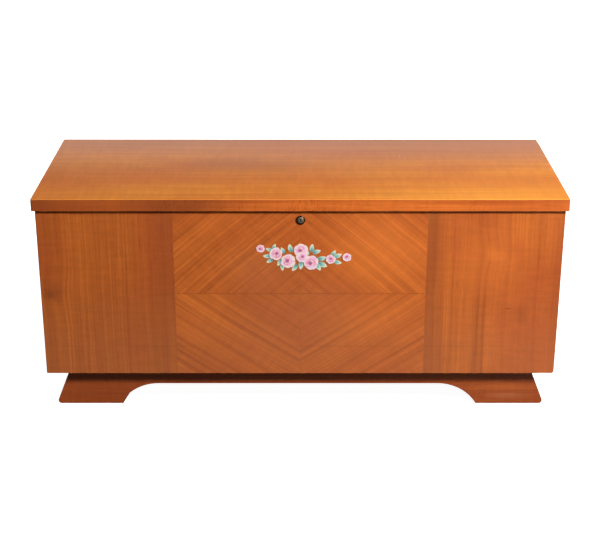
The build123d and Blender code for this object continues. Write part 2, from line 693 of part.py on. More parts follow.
def strike_parts():
    """A plate under the lid with a tab that hangs in front of the button's nose, and its screws."""
    tab_y = IN_FRONT + STRIKE_GAP
    back_y, foot_z = tab_y + STRIKE_FOOT, LID_Z - STRIKE_THICK
    tab = block(
        LOCK_X - STRIKE_HALF, LOCK_X + STRIKE_HALF, tab_y, tab_y + STRIKE_THICK,
        LOCK_Z - STRIKE_DROP, LID_Z)
    tab = fillet(tab.edges().filter_by(Axis.Y).group_by(Axis.Z)[0], STRIKE_TAB_R)
    foot = block(LOCK_X - STRIKE_FOOT_HALF, LOCK_X + STRIKE_FOOT_HALF, tab_y, back_y, foot_z, LID_Z)
    foot = fillet(foot.edges().filter_by(Axis.Z).group_by(Axis.Y)[-1], STRIKE_FOOT_R)
    screws = [
        screw((LOCK_X + dx, (tab_y + back_y) / 2 + 1, foot_z), (0, 0, 1), HARDWARE_SCREW)
        for dx in (-STRIKE_SCREW_OUT, STRIKE_SCREW_OUT)]
    hole = lock_rod(WALL, WALL + 10, NOSE_R + STRIKE_HOLE_PLAY)
    return without(tab + foot - hole, screws), screws


def lock_cover():
    """An open-topped cover on the lining, which shields the strike and the nose, and its screws."""
    y0, y1 = IN_FRONT, IN_FRONT + COVER_DEPTH
    x0, x1 = LOCK_X - COVER_HALF, LOCK_X + COVER_HALF
    low, high = LOCK_Z - COVER_BELOW, LOCK_Z + COVER_ABOVE
    shell = block(x0, x1, y0, y1, low, high)
    shell = fillet(shell.edges().filter_by(Axis.Z).group_by(Axis.Y)[-1], COVER_CORNER_R)
    inside = block(
        x0 + COVER_WALL, x1 - COVER_WALL, y0 - 1, y1 - COVER_WALL, low + COVER_WALL, high + 1)
    ear_z, ear_y = LOCK_Z - EAR_BELOW, y0 + COVER_WALL
    ears = Pos(LOCK_X, ear_z) * RectangleRounded(2 * (COVER_HALF + EAR_REACH), EAR_H, EAR_R)
    plane = Plane(origin=(0, ear_y, 0), x_dir=(1, 0, 0), z_dir=(0, -1, 0))
    ear_plate = extrude(plane * ears, COVER_WALL)
    out = COVER_HALF + EAR_REACH / 2
    screws = [
        screw((LOCK_X + dx, ear_y, ear_z), (0, -1, 0), HARDWARE_SCREW) for dx in (-out, out)]
    return without(shell + ear_plate - inside, screws), screws


# ---- painted spray --------------------------------------------------------------------------
DECAL_THICK = 0.15
LEAF_BULGE = 0.25             # half width of a leaf, as a part of its length
# roses: position from the centre line and below the rim, and radius
ROSES = (
    (-91, 92, 10.2), (-56, 105, 16), (2, 97, 17), (-28, 123, 17.5), (4, 113, 14), (25, 126, 18),
    (70, 118, 12), (107, 113, 10.5))
# leaves: position from the centre line and below the rim, length, and which way the tip points
LEAVES = (
    (-60, 87, 15, 60), (-71, 94, 17, 165), (-76, 111, 20, 175), (-70, 123, 17, 205),
    (-40, 97, 18, 115), (-22, 91, 22, 105), (-47, 126, 20, 235), (-40, 137, 20, 265),
    (-13, 139, 20, 235), (0, 133, 22, 270), (27, 91, 21, 85), (38, 100, 20, 20),
    (15, 105, 16, 50), (50, 115, 22, 10), (52, 131, 24, 335), (41, 137, 22, 300),
    (76, 103, 17, 50), (86, 111, 22, 30), (86, 125, 20, 345))


def leaf_outline(length):
    """A pointed leaf about its middle, with the tip towards +X."""
    half, bulge = length / 2, length * LEAF_BULGE
    upper = ThreePointArc((-half, 0), (0, bulge), (half, 0))
    lower = ThreePointArc((half, 0), (0, -bulge), (-half, 0))
    return make_face([*upper.edges(), *lower.edges()])


def rose_decal():
    """The outline of a spray of roses and leaves, as one thin film on the front leaves."""
    outline = None
    for x, below, radius in ROSES:
        rose = Pos(x, RIM_Z - below) * Circle(radius)
        outline = rose if outline is None else outline + rose
    for x, below, length, angle in LEAVES:
        outline = outline + Pos(x, RIM_Z - below) * Rot(0, 0, angle) * leaf_outline(length)
    plane = Plane(origin=(0, FRONT, 0), x_dir=(1, 0, 0), z_dir=(0, -1, 0))
    return [extrude(plane * face, DECAL_THICK) for face in outline.faces()]


# ---- assembly -------------------------------------------------------------------------------
def case_parts():
    """The box, its lining and its base, eased at the outside corners."""
    envelope = body_envelope()
    parts = {name: [solid & envelope] for name, solid in front_veneers().items()}
    parts.update({name: [solid & envelope] for name, solid in end_veneers().items()})
    parts.update({name: [solid & envelope] for name, solid in wall_cores().items()})
    parts["bottom_panel"] = [bottom_panel()]
    parts.update(linings())
    parts.update(base_parts())
    bars, screws = battens()
    parts["bottom_battens"] = bars
    parts["base_screws"] += screws
    return parts


def hardware(case, lid):
    """Adds the hinges, stays and lock, and cuts their seats and screw holes in the wood."""
    body_screws, lid_screws, mortises = [], [], []
    for name, x in (("left_hinge", -HINGE_X), ("right_hinge", HINGE_X)):
        lower, upper = hinge_screws(x, False), hinge_screws(x, True)
        case[name + "_body_leaf"] = [without(hinge_leaf(x, False), lower)]
        lid[name + "_lid_leaf"] = [without(hinge_leaf(x, True), upper)]
        mortises += [leaf_mortise(x, False), leaf_mortise(x, True)]
        body_screws += lower
        lid_screws += upper
    case["hinge_pins"] = [hinge_pin(x) for x in (-HINGE_X, HINGE_X)]
    stay = stay_parts()
    body_screws += stay["wall_screws"] + [flipped(s) for s in stay["wall_screws"]]
    lid_screws += stay["lid_screws"] + [flipped(s) for s in stay["lid_screws"]]
    for group, names in ((case, ("wall_plate", "wall_rivet")), (lid, ("lid_bracket", "lid_rivet"))):
        for name in names:
            group["stay_" + name + "s"] = [stay[name], flipped(stay[name])]
    for name in ("lower_arm", "knee_rivet", "upper_arm"):
        case["right_stay_" + name] = [stay[name]]
        case["left_stay_" + name] = [flipped(stay[name])]
    strike, strike_screws = strike_parts()
    cover, cover_screws = lock_cover()
    lid["strike_plate"] = [strike]
    case["lock_cover"] = [cover]
    case["lock_bezel"] = [lock_bezel()]
    case["lock_button"] = [lock_button()]
    case["key_plug"] = [key_plug()]
    case["lock_spring"] = [lock_spring()]
    body_screws += cover_screws
    lid_screws += strike_screws
    tools = body_screws + lid_screws + mortises + case["base_screws"]
    tools.append(lock_rod(-1, WALL + 1, LOCK_TUBE_R))
    case["body_hardware_screws"] = body_screws
    lid["lid_hardware_screws"] = lid_screws
    return tools


def drilled_wood(group, tools):
    """Cuts seats and screw holes in every wooden piece that hardware is let into."""
    names = (
        "front_veneer_upper_left", "front_veneer_upper_right", "front_core", "back_wall",
        "left_end_core", "right_end_core", "bottom_panel", "lining_front", "lining_left",
        "lining_right", "lid_core")
    for name in names:
        if name in group:
            group[name] = [without(solid, tools) for solid in group[name]]


def export(name, shapes):
    """Writes one piece, which may be a group of separate solids."""
    solids = [solid for shape in shapes for solid in shape.solids()]
    piece = solids[0] if len(solids) == 1 else Compound(children=solids)
    piece.label = name
    export_step(piece, os.path.join("parts", name + ".step"))


def main():
    os.makedirs("parts", exist_ok=True)
    case, lid = case_parts(), lid_parts()
    tools = hardware(case, lid)
    case["rose_decal"] = rose_decal()
    for group in (case, lid):
        drilled_wood(group, tools)
        for name, shapes in group.items():
            export(name, shapes)


main()
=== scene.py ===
"""A veneered blanket chest: wood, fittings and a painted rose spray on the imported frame."""
import math
import random

import bpy
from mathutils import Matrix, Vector

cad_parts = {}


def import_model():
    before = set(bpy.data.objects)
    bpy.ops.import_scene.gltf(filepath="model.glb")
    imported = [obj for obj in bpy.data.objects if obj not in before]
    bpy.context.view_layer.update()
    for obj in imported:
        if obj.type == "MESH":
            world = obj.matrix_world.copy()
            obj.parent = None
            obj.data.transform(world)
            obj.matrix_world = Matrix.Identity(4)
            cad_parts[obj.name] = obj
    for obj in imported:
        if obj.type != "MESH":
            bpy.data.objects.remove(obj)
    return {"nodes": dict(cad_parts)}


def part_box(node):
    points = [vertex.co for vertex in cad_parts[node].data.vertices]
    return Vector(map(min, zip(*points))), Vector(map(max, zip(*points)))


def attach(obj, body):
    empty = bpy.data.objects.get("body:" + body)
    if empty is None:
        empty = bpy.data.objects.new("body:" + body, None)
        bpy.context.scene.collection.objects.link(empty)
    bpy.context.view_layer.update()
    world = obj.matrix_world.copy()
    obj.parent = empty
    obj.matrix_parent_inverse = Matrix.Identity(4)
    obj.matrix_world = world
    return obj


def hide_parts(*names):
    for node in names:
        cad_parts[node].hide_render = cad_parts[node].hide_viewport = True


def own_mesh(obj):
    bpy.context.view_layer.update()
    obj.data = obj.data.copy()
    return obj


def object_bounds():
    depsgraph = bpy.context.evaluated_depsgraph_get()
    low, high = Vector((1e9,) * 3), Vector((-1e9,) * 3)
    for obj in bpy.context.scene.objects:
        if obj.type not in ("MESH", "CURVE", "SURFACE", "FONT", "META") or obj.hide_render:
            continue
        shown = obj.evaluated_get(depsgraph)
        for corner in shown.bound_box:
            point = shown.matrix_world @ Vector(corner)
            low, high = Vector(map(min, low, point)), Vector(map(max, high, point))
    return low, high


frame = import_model()
cad_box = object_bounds()

# ---- places taken from the frame, in metres -------------------------------------------------
(_, LOW_Y, LOW_Z), (_, _, HIGH_Z) = cad_box
LEAF_LOW, LEAF_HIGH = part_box("front_veneer_upper_right")
FRONT_Y = LEAF_LOW[1]
RIM_Z = LEAF_HIGH[2]
SEAM_Z = LEAF_LOW[2]          # level seam of the four matched leaves
SEAM_X = LEAF_HIGH[0]         # upright seams between them and the side fields
LID_FRONT_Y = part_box("lid_top_veneer")[0][1]
LINING_LOW, LINING_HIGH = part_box("lining_front")
FLOOR_LOW, FLOOR_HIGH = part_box("lining_floor")
PANEL_LOW, PANEL_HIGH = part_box("lid_lining")
PLUG_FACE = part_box("key_plug")[0][1]
RAIL_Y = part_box("front_base_rail")[0][1]
HAZE_LOW, HAZE_HIGH = 0.09, 0.36     # heights between which the painted reflection haze grows towards the base
LEVEL_LINE_Z = 0.1635                       # height of the faint dark level line on the front

# ---- tones: the dark, red and light colours of each wood ------------------------------------
FRONT_TONES = ((0.31, 0.062, 0.012), (0.40, 0.076, 0.018), (0.62, 0.154, 0.026))
SIDE_TONES = ((0.32, 0.068, 0.013), (0.39, 0.076, 0.018), (0.60, 0.152, 0.025))
LID_TONES = ((0.41, 0.108, 0.013), (0.485, 0.112, 0.015), (0.71, 0.238, 0.020))
EDGE_TONES = ((0.40, 0.080, 0.012), (0.44, 0.085, 0.015), (0.74, 0.180, 0.028))
BASE_TONES = ((0.24, 0.045, 0.010), (0.28, 0.048, 0.012), (0.44, 0.095, 0.020))
END_TONES = ((0.32, 0.074, 0.017), (0.36, 0.080, 0.020), (0.54, 0.150, 0.030))
CEDAR_TONES = ((0.36, 0.130, 0.065), (0.42, 0.130, 0.070), (0.70, 0.380, 0.215))
PALE_TONES = ((0.40, 0.265, 0.150), (0.44, 0.270, 0.150), (0.64, 0.460, 0.285))
BACK_TONES = ((0.20, 0.080, 0.035), (0.22, 0.080, 0.038), (0.38, 0.180, 0.090))

# tones of single marks
DEEP = (0.14, 0.032, 0.012)
AMBER = (0.78, 0.205, 0.036)
GOLD_HIGHLIGHT = (0.90, 0.400, 0.065)
BROWN = (0.26, 0.070, 0.026)
# HAZE is the grey of the painted reflection haze low on the front; two grey blots on the front use
# it too
HAZE = (0.46, 0.175, 0.085)
PALE_SCRATCH_AND_HIGHLIGHT = (0.85, 0.55, 0.32)
BAND_TONE = (0.17, 0.045, 0.018)
SEAM_TONE = (0.12, 0.030, 0.010)
FLECK_TONE = (0.30, 0.035, 0.006)
LEVEL_LINE_TONE = (0.10, 0.028, 0.012)
SLOT_SHADE_BLACK = (0.004, 0.003, 0.002)

# metals: clean and tarnished colours
ZINC = ((0.56, 0.56, 0.55), (0.30, 0.29, 0.27))
BRASS = ((0.62, 0.45, 0.20), (0.26, 0.17, 0.07))
BRONZE = ((0.16, 0.070, 0.030), (0.05, 0.020, 0.010))
NICKEL = ((0.34, 0.29, 0.22), (0.08, 0.055, 0.035))
FELT_DARK, FELT_LIGHT = (0.05, 0.03, 0.02), (0.14, 0.09, 0.06)

# slope of the matched leaves' grain, and the one that both rows share along the level seam
SLOPES = {"upper": math.radians(41), "lower": math.radians(34)}
SEAM_SLOPE = math.radians(37)

THROUGH = 0.1                 # a mark's radius through its piece, far beyond the thickness
LEAF_SEED = 0.8
LEAF_CUT = 0.002              # each matched leaf is sliced this much deeper from one block
BOARD_SHIFT = 9.0             # how far the grain jumps from board to board
BOARD_CONTRAST = 0.5          # how much the boards differ in tone
PORE_SHADE = 0.45             # a pore's tone as a share of the dark tone
GRAIN_BUMP = {"distance": 0.00012, "strength": 0.22}
LACQUER = {"IOR": 1.45, "Coat_Roughness": 0.14, "Coat_IOR": 1.5}


# ---- node helpers ---------------------------------------------------------------------------
class Graph:
    """A material's node tree, with short calls for the nodes used here."""

    def __init__(self, name):
        self.material = bpy.data.materials.new(name)
        self.material.use_nodes = True
        self.nodes = self.material.node_tree.nodes
        self.links = self.material.node_tree.links
        self.shader = self.nodes["Principled BSDF"]

    def put(self, socket, value):
        """Links a socket, or sets it to a constant."""
        if isinstance(value, bpy.types.NodeSocket):
            self.links.new(value, socket)
        else:
            socket.default_value = value

    def set(self, **values):
        """Sets the shader's inputs by name, with _ for a space."""
        for name, value in values.items():
            self.put(self.shader.inputs[name.replace("_", " ")], value)

    def math(self, operation, a, b=0.0, clamp=False):
        """One step of arithmetic on sockets or numbers."""
        node = self.nodes.new("ShaderNodeMath")
        node.operation = operation
        node.use_clamp = clamp
        self.put(node.inputs[0], a)
        self.put(node.inputs[1], b)
        return node.outputs[0]

    def position(self):
        """The object's own coordinates, which are the frame's, in metres."""
        return self.nodes.new("ShaderNodeTexCoord").outputs["Object"]

    def split(self, vector):
        node = self.nodes.new("ShaderNodeSeparateXYZ")
        self.put(node.inputs[0], vector)
        return node.outputs[0], node.outputs[1], node.outputs[2]

    def join(self, x, y, z):
        node = self.nodes.new("ShaderNodeCombineXYZ")
        for socket, value in zip(node.inputs, (x, y, z)):
            self.put(socket, value)
        return node.outputs[0]

    def scaled(self, vector, scale, shift=(0.0, 0.0, 0.0)):
        """A vector times a scale, plus a shift."""
        node = self.nodes.new("ShaderNodeMapping")
        node.inputs["Scale"].default_value = scale
        node.inputs["Location"].default_value = shift
        self.put(node.inputs["Vector"], vector)
        return node.outputs[0]

    def noise(self, vector, scale=1.0, detail=3.0, roughness=0.55):
        node = self.nodes.new("ShaderNodeTexNoise")
        self.put(node.inputs["Vector"], vector)
        node.inputs["Scale"].default_value = scale
        node.inputs["Detail"].default_value = detail
        node.inputs["Roughness"].default_value = roughness
        return node.outputs[0]

    def chance(self, value):
        """A fixed random number from 0 to 1 for each whole number."""
        node = self.nodes.new("ShaderNodeTexWhiteNoise")
        node.noise_dimensions = "1D"
        self.put(node.inputs["W"], value)
        return node.outputs[0]

    def ramp(self, value, low, high, to_low=0.0, to_high=1.0):
        """Maps a value smoothly from one range to another."""
        node = self.nodes.new("ShaderNodeMapRange")
        node.interpolation_type = "SMOOTHSTEP"
        for socket, number in zip(node.inputs[:5], (value, low, high, to_low, to_high)):
            self.put(socket, number)
        return node.outputs[0]

    def mix(self, factor, a, b, blend="MIX"):
        """Mixes two colours."""
        node = self.nodes.new("ShaderNodeMix")
        node.data_type = "RGBA"
        node.blend_type = blend
        self.put(node.inputs[0], factor)
        for socket, value in ((node.inputs[6], a), (node.inputs[7], b)):
            self.put(socket, (*value, 1.0) if isinstance(value, tuple) else value)
        return node.outputs[2]

    def spot(self, centre, radii, soft=1.0):
        """1 in an ellipsoid round a point, falling to 0 over its outer part."""
        away = self.scaled(
            self.position(), [1 / r for r in radii], [-c / r for c, r in zip(centre, radii)])
        node = self.nodes.new("ShaderNodeVectorMath")
        node.operation = "LENGTH"
        self.put(node.inputs[0], away)
        return self.ramp(node.outputs["Value"], 1.0, 1.0 - soft)

    def bump(self, height, distance, strength):
        """Makes the surface look uneven; distance is in metres."""
        node = self.nodes.new("ShaderNodeBump")
        node.inputs["Strength"].default_value = strength
        node.inputs["Distance"].default_value = distance
        self.put(node.inputs["Height"], height)
        self.put(self.shader.inputs["Normal"], node.outputs[0])


# ---- wood -----------------------------------------------------------------------------------
def grain_space(graph, along, seed, turn=0.0, mirrored=False):
    """Coordinates (along the grain, across it, through it) from the frame's X, Y and Z.

    along names the axis that the grain follows.  A turn tilts it in the front's plane, and a
    mirrored space folds about the centre line and the level seam, as four matched leaves do, and
    is stretched so that leaves of different slopes still meet along that seam.
    """
    x, y, z = graph.split(graph.position())
    if mirrored:
        x = graph.math("ABSOLUTE", x)
        z = graph.math("ABSOLUTE", graph.math("SUBTRACT", z, SEAM_Z))
    if turn:
        cosine, sine = math.cos(turn), math.sin(turn)
        level = graph.math(
            "SUBTRACT", graph.math("MULTIPLY", x, cosine), graph.math("MULTIPLY", z, sine))
        rise = graph.math(
            "ADD", graph.math("MULTIPLY", x, sine), graph.math("MULTIPLY", z, cosine))
        level = graph.math("MULTIPLY", level, math.cos(SEAM_SLOPE) / cosine)
        rise = graph.math("MULTIPLY", rise, math.sin(SEAM_SLOPE) / sine)
        return graph.join(level, rise, graph.math("ADD", y, seed))
    first, second, third = {"X": (x, y, z), "Y": (y, x, z), "Z": (z, x, y)}[along]
    return graph.join(first, second, graph.math("ADD", third, seed))


def by_board(graph, space, boards):
    """Shifts the grain from board to board; also gives each board's own random number."""
    axis, start, pitch = boards
    place = dict(zip("XYZ", graph.split(graph.position())))[axis]
    index = graph.math("FLOOR", graph.math("DIVIDE", graph.math("SUBTRACT", place, start), pitch))
    own = graph.chance(index)
    u, v, w = graph.split(space)
    return graph.join(graph.math("ADD", u, graph.math("MULTIPLY", own, BOARD_SHIFT)), v, w), own


def wander(graph, space, bend):
    """Bends the grain gently from side to side along its length."""
    u, v, w = graph.split(space)
    drift = graph.noise(graph.scaled(space, (1.6, 3.0, 3.0)), detail=4.0, roughness=0.5)
    drift = graph.math("MULTIPLY", graph.math("SUBTRACT", drift, 0.5), bend)
    return graph.join(u, graph.math("ADD", v, drift), w)


def bowed(graph, space, knots):
    """Pushes the grain aside round single places; each is (centre, radii, push)."""
    for centre, radii, push in knots:
        u, v, w = graph.split(space)
        shove = graph.math("MULTIPLY", graph.spot(centre, radii), push)
        space = graph.join(u, graph.math("ADD", v, shove), w)
    return space


def figure(graph, space, layers):
    """Sums noises drawn out along the grain; each layer is (along, across, amount)."""
    total = 0.5
    for along, across, amount in layers:
        noise = graph.noise(graph.scaled(space, (along, across, across)), detail=3.0, roughness=0.6)
        swing = graph.math("MULTIPLY", graph.math("SUBTRACT", noise, 0.5), amount)
        total = graph.math("ADD", total, swing)
    return total


STRAIGHT = ((0.6, 10.0, 0.5), (0.6, 62.0, 0.8), (1.2, 150.0, 1.2), (3.0, 320.0, 1.1))
STRIPED = ((0.5, 8.0, 0.3), (0.5, 44.0, 0.8), (0.7, 95.0, 1.35), (1.6, 230.0, 1.3))
LONG = ((0.5, 7.0, 1.1), (0.6, 40.0, 0.7), (1.4, 150.0, 1.1), (3.0, 420.0, 0.9))
BOLD = ((0.8, 16.0, 2.2), (0.9, 60.0, 1.8), (2.0, 240.0, 1.0))


def wood(name, tones, along="X", seed=0.0, turn=0.0, mirrored=False, layers=STRAIGHT, bend=0.03,
         pores=0.45, curl=0.06, roughness=0.33, coat=0.2, boards=None, knots=(), marks=()):
    """Lacquered wood.  tones are its dark, red and light colours; marks shade single places."""
    graph = Graph(name)
    dark, red, light = tones
    space = grain_space(graph, along, seed, turn, mirrored)
    own = 0.5
    if boards:
        space, own = by_board(graph, space, boards)
    space = bowed(graph, wander(graph, space, bend), knots)
    value = figure(graph, space, layers)
    lift = graph.math("MULTIPLY", graph.math("SUBTRACT", own, 0.5), BOARD_CONTRAST)
    value = graph.math("ADD", value, lift)
    colour = graph.mix(graph.math("ADD", value, 0.0, clamp=True), dark, light)
    cloud = graph.noise(graph.scaled(space, (2.0, 5.0, 5.0)), detail=3.0)
    colour = graph.mix(graph.ramp(cloud, 0.40, 0.66, 0.0, 0.65), colour, red)
    mottle = graph.noise(graph.scaled(space, (90.0, 15.0, 15.0)), detail=3.0, roughness=0.6)
    mottle = graph.ramp(mottle, 0.3, 0.7, 1.0 - curl, 1.0 + curl)
    colour = graph.mix(1.0, colour, graph.join(mottle, mottle, mottle), "MULTIPLY")
    hair = graph.noise(graph.scaled(space, (34.0, 1100.0, 1100.0)), detail=2.0)
    dashes = graph.ramp(hair, 0.58, 0.72, 0.0, pores)
    colour = graph.mix(dashes, colour, tuple(PORE_SHADE * c for c in dark))
    for mark in marks:
        colour = mark(graph, colour)
    graph.set(Base_Color=colour, Coat_Weight=coat, **LACQUER)
    rub = graph.noise(graph.position(), scale=2.4, detail=4.0)
    graph.set(Roughness=graph.ramp(rub, 0.3, 0.7, roughness - 0.02, roughness + 0.03))
    height = graph.math("SUBTRACT", graph.math("MULTIPLY", value, 0.3), dashes)
    graph.bump(height, **GRAIN_BUMP)
    return graph.material


def base_metal(name, colour, tarnish, roughness, scale=60.0, amount=0.5, brushed=None, metallic=1.0,
               painted_slot_shade=False):
    """Metal with uneven tarnish; brushed names the axis that fine scratches follow.

    The last flag paints shade: what lies behind the lock's face, inside the key slot, is painted
    near black.
    """
    graph = Graph(name)
    spots = graph.noise(graph.position(), scale, detail=5.0, roughness=0.62)
    stain = graph.ramp(spots, 0.42, 0.70, 0.0, amount)
    shade = graph.mix(stain, colour, tarnish)
    if painted_slot_shade:
        # painted shade: the inside of the key slot, behind the plug's face, is painted near black
        _, y, _ = graph.split(graph.position())
        shade = graph.mix(graph.ramp(y, PLUG_FACE + 0.0001, PLUG_FACE + 0.0008), shade, SLOT_SHADE_BLACK)
    graph.set(Base_Color=shade, Metallic=metallic)
    graph.set(Roughness=graph.ramp(spots, 0.35, 0.7, roughness, roughness + 0.2))
    if brushed:
        space = grain_space(graph, brushed, 0.0)
        scratches = graph.noise(graph.scaled(space, (40.0, 4000.0, 4000.0)), detail=2.0)
        graph.bump(scratches, distance=0.00004, strength=0.5)
    else:
        graph.bump(spots, distance=0.00008, strength=0.4)
    return graph.material


def felt():
    graph = Graph("felt")
    fuzz = graph.noise(graph.position(), scale=900.0, detail=4.0, roughness=0.7)
    graph.set(Base_Color=graph.mix(fuzz, FELT_DARK, FELT_LIGHT), Roughness=0.95)
    graph.set(Sheen_Weight=0.4, Sheen_Roughness=0.5)
    graph.bump(fuzz, distance=0.0004, strength=0.6)
    return graph.material


# ---- marks on single pieces -----------------------------------------------------------------
def close_grain(sign, depth, width):
    """Side fields darken in a band of close grain beside the upright seam."""
    def mark(graph, colour):
        x, _, _ = graph.split(graph.position())
        away = graph.math("SUBTRACT", graph.math("MULTIPLY", x, sign), SEAM_X)
        uneven = graph.noise(graph.scaled(graph.position(), (60.0, 1.0, 5.0)), detail=3.0)
        waver = graph.math("MULTIPLY", graph.math("SUBTRACT", uneven, 0.5), 0.03)
        away = graph.math("ADD", away, waver)
        return graph.mix(graph.ramp(away, width, 0.002, 0.0, depth), colour, BAND_TONE)
    return mark


def blot(centre, radii, tone, depth, soft=0.9):
    """A soft patch of another tone."""
    def mark(graph, colour):
        amount = graph.math("MULTIPLY", graph.spot(centre, radii, soft), depth)
        return graph.mix(amount, colour, tone)
    return mark


def front_blot(place, radii, tone, depth, soft=0.9):
    """A blot on the front, by its X and Z."""
    return blot((place[0], FRONT_Y, place[1]), (radii[0], THROUGH, radii[1]), tone, depth, soft)


def lid_blot(place, radii, tone, depth, soft=0.9):
    """A blot on the lid's top, by its X and Y."""
    return blot((*place, HIGH_Z), (*radii, THROUGH), tone, depth, soft)


def seam_lines(graph, colour):
    """Thin dark joints where the matched leaves meet."""
    x, _, z = graph.split(graph.position())
    level = graph.math("ABSOLUTE", graph.math("SUBTRACT", z, SEAM_Z))
    side = graph.math("ABSOLUTE", x)
    near = graph.math("MINIMUM", level, graph.math("ADD", side, 0.0008))
    return graph.mix(graph.ramp(near, 0.0016, 0.0004, 0.0, 0.38), colour, SEAM_TONE)


def flecks(graph, colour):
    """Short upright reddish flecks on the lid's front edge, in patches."""
    patch = graph.noise(
        graph.scaled(graph.position(), (7.0, 1.0, 1.0), (3.1, 0.0, 0.0)), detail=3.0)
    ticks = graph.noise(graph.scaled(graph.position(), (420.0, 1.0, 60.0)), detail=2.0)
    amount = graph.math(
        "MULTIPLY", graph.ramp(patch, 0.45, 0.62), graph.ramp(ticks, 0.50, 0.66, 0.0, 0.55))
    return graph.mix(amount, colour, FLECK_TONE)


def painted_reflection_haze(graph, colour):
    """Painted reflection: a grey haze that grows towards the bottom of the front."""
    _, _, z = graph.split(graph.position())
    return graph.mix(graph.ramp(z, HAZE_HIGH, HAZE_LOW, 0.0, 0.17), colour, HAZE)


def faint_level_line(graph, colour):
    """A faint, broken dark level line low on the front."""
    _, _, z = graph.split(graph.position())
    patch = graph.noise(graph.scaled(graph.position(), (9.0, 1.0, 1.0)), detail=2.0)
    broken = graph.ramp(patch, 0.40, 0.62)
    away = graph.math("ABSOLUTE", graph.math("SUBTRACT", z, LEVEL_LINE_Z))
    line = graph.ramp(away, 0.0022, 0.0, 0.0, 0.22)
    return graph.mix(graph.math("MULTIPLY", line, broken), colour, LEVEL_LINE_TONE)


def front_woods():
    """The six leaves of the front, each with its own marks."""
    table = {}
    shared = (
        front_blot((0.0, 0.27), (0.24, 0.16), BROWN, 0.10),
        front_blot((0.0, 0.24), (0.26, 0.18), HAZE, 0.14), painted_reflection_haze, seam_lines, faint_level_line)
    own = {
        "upper_left": (
            front_blot((-0.19, 0.47), (0.14, 0.06), AMBER, 0.06),
            front_blot((-0.10, 0.36), (0.12, 0.08), HAZE, 0.14)),
        "upper_right": (front_blot((0.17, 0.40), (0.17, 0.14), AMBER, 0.36),),
        "lower_left": (front_blot((-0.23, 0.25), (0.11, 0.14), AMBER, 0.16),),
        "lower_right": (front_blot((0.16, 0.24), (0.17, 0.10), AMBER, 0.18),),
    }
    for index, (place, marks) in enumerate(own.items()):
        table["front_veneer_" + place] = wood(
            "matched_" + place, FRONT_TONES, turn=SLOPES[place.split("_")[0]], mirrored=True,
            seed=LEAF_SEED + LEAF_CUT * index, layers=STRIPED, bend=0.03, marks=shared + marks)
    table["front_veneer_left"] = wood(
        "upright_left", SIDE_TONES, "Z", seed=1.3, marks=(
            close_grain(-1.0, 0.22, 0.085), painted_reflection_haze, faint_level_line,
            front_blot((-0.39, 0.22), (0.13, 0.19), BROWN, 0.13),
            front_blot((-0.574, 0.300), (0.040, 0.036), DEEP, 0.34),
            front_blot((-0.580, 0.294), (0.015, 0.013), DEEP, 0.30)),
        knots=(((-0.574, FRONT_Y, 0.298), (0.08, THROUGH, 0.10), 0.010),))
    table["front_veneer_right"] = wood(
        "upright_right", SIDE_TONES, "Z", seed=2.9, marks=(
            close_grain(1.0, 0.40, 0.060), painted_reflection_haze, faint_level_line,
            front_blot((0.430, 0.380), (0.120, 0.130), AMBER, 0.20),
            front_blot((0.452, 0.392), (0.030, 0.022), AMBER, 0.22),
            front_blot((0.436, 0.400), (0.014, 0.034), AMBER, 0.18),
            front_blot((0.605, 0.31), (0.050, 0.26), DEEP, 0.22),
            front_blot((0.518, 0.246), (0.020, 0.045), DEEP, 0.20),
            front_blot((0.484, 0.260), (0.008, 0.0016), DEEP, 0.8, 0.5)),
        knots=(((0.446, FRONT_Y, 0.398), (0.070, THROUGH, 0.070), -0.008),))
    return table


def lid_woods():
    edge = wood("lid_edge", EDGE_TONES, "X", seed=5.2, layers=BOLD, marks=(
        flecks,
        blot((-0.62, LID_FRONT_Y, HIGH_Z), (0.16, THROUGH, THROUGH), DEEP, 0.42),
        blot((-0.27, LID_FRONT_Y, HIGH_Z), (0.16, THROUGH, THROUGH), DEEP, 0.45),
        # painted shade: a broad dark patch darkens the left part of the front edge, away from the
        # light; the two smaller dark blots above are dark patches in the wood
        blot((-0.40, LID_FRONT_Y, HIGH_Z), (0.46, THROUGH, THROUGH), DEEP, 0.32)))
    side_edge = wood("lid_side_edge", EDGE_TONES, "Y", seed=5.9, layers=BOLD)
    return {
        "lid_top_veneer": wood(
            "lid_veneer", LID_TONES, "X", seed=0.7, layers=LONG, bend=0.05, curl=0.06, pores=0.25,
            roughness=0.235, marks=(
                # painted shade: a large brown patch darkens the back half of the lid's top, where
                # less light falls
                lid_blot((0.35, 0.27), (1.30, 0.34), BROWN, 0.60),
                lid_blot((-0.13, 0.02), (0.24, 0.08), BROWN, 0.42),
                lid_blot((-0.45, 0.20), (0.30, 0.10), BROWN, 0.16),
                lid_blot((0.246, 0.085), (0.0022, 0.030), PALE_SCRATCH_AND_HIGHLIGHT, 0.17, 0.8),
                lid_blot((0.258, 0.070), (0.0030, 0.010), PALE_SCRATCH_AND_HIGHLIGHT, 0.15, 0.8),
                lid_blot((-0.10, 0.01), (1.00, 0.13), BROWN, 0.24),
                # painted highlights: golden patches along the front of the lid's top, strongest at
                # the front right
                lid_blot((-0.60, LID_FRONT_Y), (0.50, 0.16), GOLD_HIGHLIGHT, 0.10),
                lid_blot((0.52, LID_FRONT_Y), (0.55, 0.22), GOLD_HIGHLIGHT, 0.26))),
        "lid_edge_front": edge,
        "lid_edge_left": side_edge,
        "lid_edge_right": side_edge,
    }


